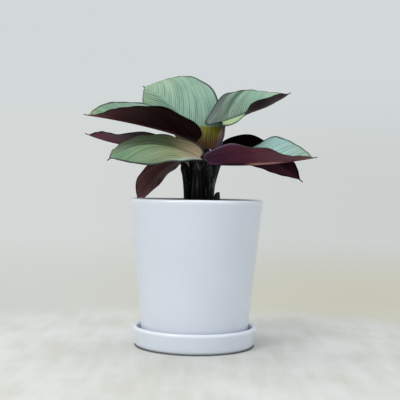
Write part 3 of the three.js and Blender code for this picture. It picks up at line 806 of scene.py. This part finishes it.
def makeBlade(name, leaf, seed):
    b = blade
    even = np.linspace(0, 1, b["rows"] + 1)
    rows = even - b["rowCrowding"] * np.sin(turn * even)
    half = np.linspace(0, 1, b["columns"] + 1)
    half = half - b["columnCrowding"] * np.sin(turn * half)
    columns = np.concatenate([half[::-1], -half[1:]])
    s, v = np.meshgrid(rows, columns, indexing="ij")
    place, normal = bladeSurface(leaf, s, v)
    reach = np.abs(v)
    width = halfWidth(leaf, s, v)
    across = width * reach
    spine = midrib(leaf, rows)[0]
    run = np.concatenate([[0], np.cumsum(np.linalg.norm(np.diff(spine, axis=0), axis=1))])
    look = {**bladeLook, **leaf}
    lean = ofHalf(look, v, lambda half: half["lean"])
    path = (run[:, None] - lean * across - look["sweep"] * across * reach ** 2) / np.hypot(1, lean)
    # raised veins, a keel under the midrib and a groove above it
    inner = smooth(0, 4, across) * (1 - smooth(0.8, 1, reach)) * smooth(0, 0.08, s) * (1 - smooth(0.88, 1, s))
    pleat = b["pleatHeight"] * inner * np.sin(turn * (path + np.where(v < 0, 2.1, 0)) / b["pleat"])
    ruffle = b["marginRuffle"] * reach ** 4 * smooth(0.05, 0.2, s) * (1 - smooth(0.85, 1, s))
    ruffle = ruffle * np.sin(turn * path / b["ruffleLength"] + seed)
    fade = (1 - s) ** 0.55
    keel = b["ribHeight"] * fade * np.exp(-(across / (b["ribWidth"] * (0.45 + 0.55 * fade))) ** 2)
    groove = b["grooveDepth"] * fade * np.exp(-(across / b["grooveWidth"]) ** 2) * smooth(0, 0.1, s)
    thick = lerp(b["thickness"], b["marginThickness"], reach ** 3) / 2
    lift = (pleat + ruffle)[..., None]
    top = place + normal * (lift + (thick - groove)[..., None])
    under = place + normal * (lift - (thick + keel)[..., None])
    rowCount, columnCount = s.shape
    topId = np.arange(rowCount * columnCount).reshape(rowCount, columnCount)
    underId = topId + topId.size

    def quads(*corners):
        return np.stack(corners, -1).reshape(-1, 4)

    i, j = slice(None, -1), slice(1, None)
    faces = np.concatenate([
        quads(topId[i, i], topId[i, j], topId[j, j], topId[j, i]),
        quads(underId[i, j], underId[i, i], underId[j, i], underId[j, j]),
        quads(underId[i, 0], topId[i, 0], topId[j, 0], underId[j, 0]),
        quads(topId[i, -1], underId[i, -1], underId[j, -1], topId[j, -1]),
        quads(topId[0, j], topId[0, i], underId[0, i], underId[0, j]),
        quads(topId[-1, i], topId[-1, j], underId[-1, j], underId[-1, i])])
    materialOf = np.ones(len(faces), int)
    materialOf[:(rowCount - 1) * (columnCount - 1)] = 0
    piece = meshPiece(name + "_leaf", np.concatenate([top.reshape(-1, 3), under.reshape(-1, 3)]), faces,
                      name + "_blade",
                      [bladeTopMaterial(name + "_top", leaf, seed),
                       bladeUnderMaterial(name + "_under", leaf, seed)], materialOf)
    sign = np.where(v < 0, -1.0, 1.0)
    veinPath = np.stack([path, across * sign, s], -1).reshape(-1, 3)
    bladeEdge = np.stack([reach, width * (1 - reach), v], -1).reshape(-1, 3)
    markPoints(piece, "veinPath", np.concatenate([veinPath, veinPath]))
    markPoints(piece, "bladeEdge", np.concatenate([bladeEdge, bladeEdge]))
    return piece


# stalks
stalkLook = {"low": (3, 5, 7), "high": (60, 42, 66), "paleStreakAndHighlight": (150, 162, 166), "knuckle": (104, 88, 70)}


def stalkMaterial():
    look = stalkLook
    r = Surface("darkStalk")
    around, height, knuckle = r.parts(r.attribute("stalkPlace"))
    ribs = r.noise(r.vector(around * 3.2, height / 30.0, 1.0), 1.0, 3.0, 0.6)
    tone = r.noise(r.vector(around * 0.6, height / 14.0, 5.0), 1.0, 2.0)
    raised = r.between(height, 62.0, 95.0)
    colour = r.mix(paint(*look["low"]), paint(*look["high"]), raised * 0.9 + (tone - 0.5) * 0.3)
    # pale streaks along the stalks: partly their own markings and partly painted highlights
    streaks = r.between(ribs, 0.55, 0.66) * r.between(tone, 0.42, 0.62)
    colour = r.mix(colour, paint(*look["paleStreakAndHighlight"]), streaks * 0.95)
    colour = r.mix(colour, paint(*look["knuckle"]), knuckle * (0.4 + ribs * 0.4))
    return r.finish(Base_Color=colour, Roughness=0.36 + ribs * 0.2, Specular_IOR_Level=0.12,
                    Normal=r.bump(ribs, 0.4, 0.0004))


darkStalk = stalkMaterial()


def stalkLine(leaf, t):
    place, along, _, up = (value[0] for value in midrib(leaf, np.array([0.0])))
    below = stalk["endRadius"] + blade["thickness"] / 2 + stalk["clearance"]
    rise = np.array([0, 0, 1.0])
    root = np.array([*leaf["root"], soilTopZ - stalk["rootDepth"]])
    end = place + along * stalk["lap"] - up * below
    upright = root + rise * stalk["uprightShare"] * (end[2] - root[2])
    bend = end - along * stalk["knee"][0] - rise * stalk["knee"][1]
    t = t[:, None]
    return (1 - t) ** 3 * root + 3 * (1 - t) ** 2 * t * upright + 3 * (1 - t) * t * t * bend + t ** 3 * end


# even steps along a line of points, with two directions across it that don't twist
def evenLine(points, steps):
    lengths = np.concatenate([[0], np.cumsum(np.linalg.norm(np.diff(points, axis=0), axis=1))])
    marks = np.linspace(0, lengths[-1], steps + 1)
    line = np.stack([np.interp(marks, lengths, points[:, k]) for k in range(3)], 1)
    along = unit(np.gradient(line, axis=0))
    first = np.empty_like(line)
    first[0] = unit(np.cross(along[0], [0.3, 1, 0.1]))
    for i in range(1, len(line)):
        kept = first[i - 1] - along[i] * np.dot(first[i - 1], along[i])
        first[i] = unit(kept)
    return line, first, np.cross(along, first), lengths[-1]


def tubeFaces(steps, sides):
    faces = []
    for i in range(steps):
        for j in range(sides):
            k = (j + 1) % sides
            faces.append((i * sides + j, i * sides + k, (i + 1) * sides + k, (i + 1) * sides + j))
    faces.append(tuple(range(sides))[::-1])
    faces.append(tuple(steps * sides + j for j in range(sides)))
    return faces


def makeStalk(name, leaf, seed):
    s = stalk
    line, first, second, length = evenLine(stalkLine(leaf, np.linspace(0, 1, 300)), s["steps"])
    u = np.linspace(0, 1, s["steps"] + 1)
    radius = np.where(u < s["neckAt"], lerp(s["soilRadius"], s["neckRadius"], u / s["neckAt"]),
                      lerp(s["neckRadius"], s["endRadius"], (u - s["neckAt"]) / (1 - s["neckAt"])))
    knuckle = np.exp(-((u - s["knuckleAt"]) / s["knuckleLength"]) ** 2)
    pale = leaf.get("knuckle", s["knucklePaleness"])
    radius = radius + s["knuckleSwell"] * knuckle
    angles = np.arange(s["sides"]) * turn / s["sides"]
    # the channel faces the plant's middle
    inward = -line[:, :2] + np.array(s["plantMiddle"])
    facing = np.arctan2((second[:, :2] * inward).sum(1), (first[:, :2] * inward).sum(1))
    apart = np.abs((angles[None] - facing[:, None] + math.pi) % turn - math.pi)
    channel = 1 - s["channel"] * np.exp(-(apart / s["channelWidth"]) ** 2) * (1 - knuckle)[:, None]
    edges = 1 + s["edgeHeight"] * np.exp(-((apart - s["edgeAt"]) / s["edgeWidth"]) ** 2)
    # a thin sheath reaches towards the other stalks and closes the bundle, or lies to both sides at sheathAt
    low, high = s["sheathSpan"]
    reach = leaf.get("sheath", s["sheath"]) * smooth(low, low + 0.25, u) * (1 - smooth(high, high + 0.1, u))
    sheath = reach[:, None] * np.exp(-((apart - leaf.get("sheathAt", 0)) / s["sheathWidth"]) ** 2)
    ring = radius[:, None] * channel * edges + sheath
    points = line[:, None] + first[:, None] * (ring * np.cos(angles))[..., None]
    points = points + second[:, None] * (ring * np.sin(angles))[..., None]
    piece = meshPiece(name + "_petiole", points.reshape(-1, 3), tubeFaces(s["steps"], s["sides"]),
                      name + "_stalk", [darkStalk])
    around = np.tile(np.sin(angles / 2) * s["sides"] / 4 + seed, (len(u), 1))
    height = np.repeat((u * length)[:, None], s["sides"], 1)
    swell = np.repeat(knuckle[:, None] * pale, s["sides"], 1)
    markPoints(piece, "stalkPlace", np.stack([around, height, swell], -1).reshape(-1, 3))


# the dry stub of an old stalk
stub = {"root": (19.8, -6, 118), "top": (20.6, -9, 155.5), "radius": 3.6, "topRadius": 2.6, "wornPower": 6,
        "wornSlope": 1.6, "splits": 1.2, "flutes": 7, "fluteDepth": 0.05, "hollow": 3.0, "steps": 40,
        "sides": 28}


def stubMaterial():
    r = Surface("dryStub")
    place = r.place()
    x, y, z = r.parts(place)
    fibres = r.noise(r.vector(x * 1600.0, y * 1600.0, z * 60.0), 1.0, 3.0, 0.6)
    colour = r.ramp(fibres, [(0.3, paint(8, 7, 8)), (0.6, paint(26, 21, 19)), (0.85, paint(62, 50, 40))])
    return r.finish(Base_Color=colour, Roughness=0.7 + fibres * 0.2, Normal=r.bump(fibres, 0.7, 0.0006))


def makeStub():
    s = stub
    draw = np.random.default_rng(8)
    root, top = np.array(s["root"], float), np.array(s["top"], float)
    u = np.linspace(0, 1, s["steps"] + 1)
    angles = np.arange(s["sides"]) * turn / s["sides"]
    along = unit(top - root)
    first = unit(np.cross(along, [0, 1, 0.2]))
    second = np.cross(along, first)
    radius = lerp(s["radius"], s["topRadius"], u ** s["wornPower"])
    flutes = 1 - s["fluteDepth"] * (1 + np.cos(angles * s["flutes"] + 1)) / 2 - 0.03 * draw.random(s["sides"])
    ring = radius[:, None] * flutes
    points = (lerp(root, top, u[:, None]))[:, None] + first * (ring * np.cos(angles))[..., None]
    points = points + second * (ring * np.sin(angles))[..., None]
    # the top is worn: low at the front right, with split fibres, and hollow inside
    worn = (2.0 + s["wornSlope"] * np.cos(angles - 0.6) + s["splits"] * draw.random(s["sides"])) * 0.8
    points[:, :, 2] -= (u ** 8)[:, None] * worn
    inner = points[-1] * 0.42 + points[-1].mean(0) * 0.58
    well = inner - along * s["hollow"]
    rings = np.concatenate([points, inner[None], well[None]])
    rings[-2] -= along * 0.5
    meshPiece("worn_stub", rings.reshape(-1, 3), tubeFaces(len(rings) - 1, s["sides"]), "old_stub",
              [stubMaterial()])
    print("stub made")


makeSaucer()
makePot()
makeSoil()
for order, (leafName, leafShape) in enumerate(leaves.items()):
    makeBlade(leafName, leafShape, 2.0 + 7 * order)
    makeStalk(leafName, leafShape, 1.0 + 3 * order)
print("leaves made:", len(leaves))
makeStub()


# stage: a pale floor that runs out into the backdrop's colour, soft light and the camera
stage = {"floorWarm": (207, 207, 199), "floorPale": (220, 222, 219), "contactShadow": (66, 67, 64), "floorSize": 25,
         "centre": (0.0, -0.16), "fadeFrom": 0.3, "fadeTo": 0.47, "cameraBack": 0.86,
         "contactShadowWidth": 0.001, "contactShadowFront": 0.004, "roomLight": (0.55, 0.57, 0.59),
         "footLeft": (207, 209, 204), "footRight": (199, 199, 184), "lowLeft": (213, 216, 214),
         "lowRight": (204, 208, 206), "highLeft": (210, 216, 217), "highRight": (211, 216, 219)}
lamps = {
    "keyLamp": {"at": (-0.9, -1.0, 1.0), "size": 0.9, "watts": 11, "colour": (1.0, 0.99, 0.97)},
    "fillLamp": {"at": (1.1, -1.0, 0.5), "size": 1.2, "watts": 3.2, "colour": (0.92, 0.96, 1.0)},
    "topLamp": {"at": (-0.2, 0.3, 1.5), "size": 1.2, "watts": 7, "colour": (1.0, 1.0, 1.0)},
}
camera = {"at": (3.6, -860, 161), "tiltDown": 0.98, "roll": 0.94, "lens": 76.5, "sensor": 36.0}


def floorMaterial():
    r = Surface("paleFloor")
    x, y, _ = r.parts(r.place())
    centreX, centreY = stage["centre"]
    away = r.sum("SQRT", (x - centreX) * (x - centreX) + (y - centreY) * (y - centreY))
    clouds = r.noise(r.place(), 11.0, 4.0, 0.55)
    grain = r.noise(r.vector(x * 60.0, y * 9.0, 0.0), 1.0, 3.0)
    tone = r.between(clouds * 0.6 + grain * 0.4, 0.35, 0.65)
    far = r.between(away, stage["fadeFrom"], stage["fadeTo"])
    reach = r.sum("SQRT", x * x + y * y)
    side = r.between(x / r.sum("MAXIMUM", y + stage["cameraBack"], stage["cameraBack"]), -0.2, 0.2)
    side = side * r.between(y / (reach + 0.1), 0.1, 0.7)
    # the backdrop's foot goes darker and browner towards the right: a painted shadow band
    edge = r.mix(paint(*stage["footLeft"]), paint(*stage["footRight"]), side)
    low = r.mix(paint(*stage["lowLeft"]), paint(*stage["lowRight"]), side)
    backdrop = r.mix(edge, low, r.between(away, stage["fadeTo"], 2.0))
    near = r.mix(paint(*stage["floorWarm"]), paint(*stage["floorPale"]), tone)
    # a painted contact shadow: the dark line where the saucer stands on the floor
    foot = saucer["footRadius"] * mm
    ring = r.between(y / reach * -1, 0, 1) * stage["contactShadowFront"] + stage["contactShadowWidth"]
    near = r.mix(near, paint(*stage["contactShadow"]), (1 - r.between((reach - foot) / ring, 0.1, 1)) * 0.7)
    # far from the pot the floor takes no light and glows with the backdrop's colour instead, darker towards
    # the right: painted light
    return r.finish(Base_Color=r.mix(near, paint(0, 0, 0), far), Roughness=0.6, Specular_IOR_Level=0.0,
                    Emission_Color=r.mix(paint(0, 0, 0), backdrop, far), Emission_Strength=1.0)


# the camera sees a pale backdrop that lightens upwards, and the part is lit by a dimmer room
def makeWorld():
    world = bpy.data.worlds.new("softRoom")
    world.use_nodes = True
    r = Recipe(world.node_tree)
    x, y, z = r.parts(r.add("ShaderNodeTexCoord", None, None, "Generated"))
    side = r.between(x, -0.2, 0.2) * r.between(y, 0.1, 0.7)
    low = r.mix(paint(*stage["lowLeft"]), paint(*stage["lowRight"]), side)
    high = r.mix(paint(*stage["highLeft"]), paint(*stage["highRight"]), side)
    seen = r.add("ShaderNodeBackground", None, {"Color": r.mix(low, high, r.between(z, 0.0, 0.16))})
    room = r.add("ShaderNodeBackground", None, {"Color": (*stage["roomLight"], 1)})
    choice = r.add("ShaderNodeMixShader", None, {0: r.add("ShaderNodeLightPath", None, None, "Is Camera Ray"),
                                                 1: room, 2: seen})
    r.add("ShaderNodeOutputWorld", None, {"Surface": choice})
    bpy.context.scene.world = world


def makeStage():
    reach = stage["floorSize"]
    mesh = bpy.data.meshes.new("floor")
    corners = [(-reach, -reach, 0), (reach, -reach, 0), (reach, reach, 0), (-reach, reach, 0)]
    mesh.from_pydata(corners, [], [(0, 1, 2, 3)])
    mesh.materials.append(floorMaterial())
    floor = bpy.data.objects.new("floor", mesh)
    bpy.context.scene.collection.objects.link(floor)

    makeWorld()
    for name, lamp in lamps.items():
        light = bpy.data.lights.new(name, "AREA")
        light.shape = "DISK"
        light.size = lamp["size"]
        light.energy = lamp["watts"]
        light.color = lamp["colour"]
        held = bpy.data.objects.new(name, light)
        bpy.context.scene.collection.objects.link(held)
        held.location = lamp["at"]
        held.rotation_euler = (Vector((0, 0, 0.14)) - Vector(lamp["at"])).to_track_quat("-Z", "Y").to_euler()

    view = bpy.data.cameras.new("photoCamera")
    view.lens = camera["lens"]
    view.sensor_width = camera["sensor"]
    holder = bpy.data.objects.new("photoCamera", view)
    bpy.context.scene.collection.objects.link(holder)
    tilt = Matrix.Rotation(math.radians(90 - camera["tiltDown"]), 4, "X")
    holder.matrix_world = (Matrix.Translation(Vector(camera["at"]) * mm) @ tilt
                           @ Matrix.Rotation(math.radians(camera["roll"]), 4, "Z"))
    bpy.context.scene.camera = holder
    bpy.context.scene.view_settings.view_transform = "Standard"
    print("stage set")


makeStage()

# the nodes of the frame that still show keep a worked finish too
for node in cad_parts.values():
    node.data.materials.clear()
    node.data.materials.append(darkStalk if node.name.endswith("_stalk") else whiteGlaze)
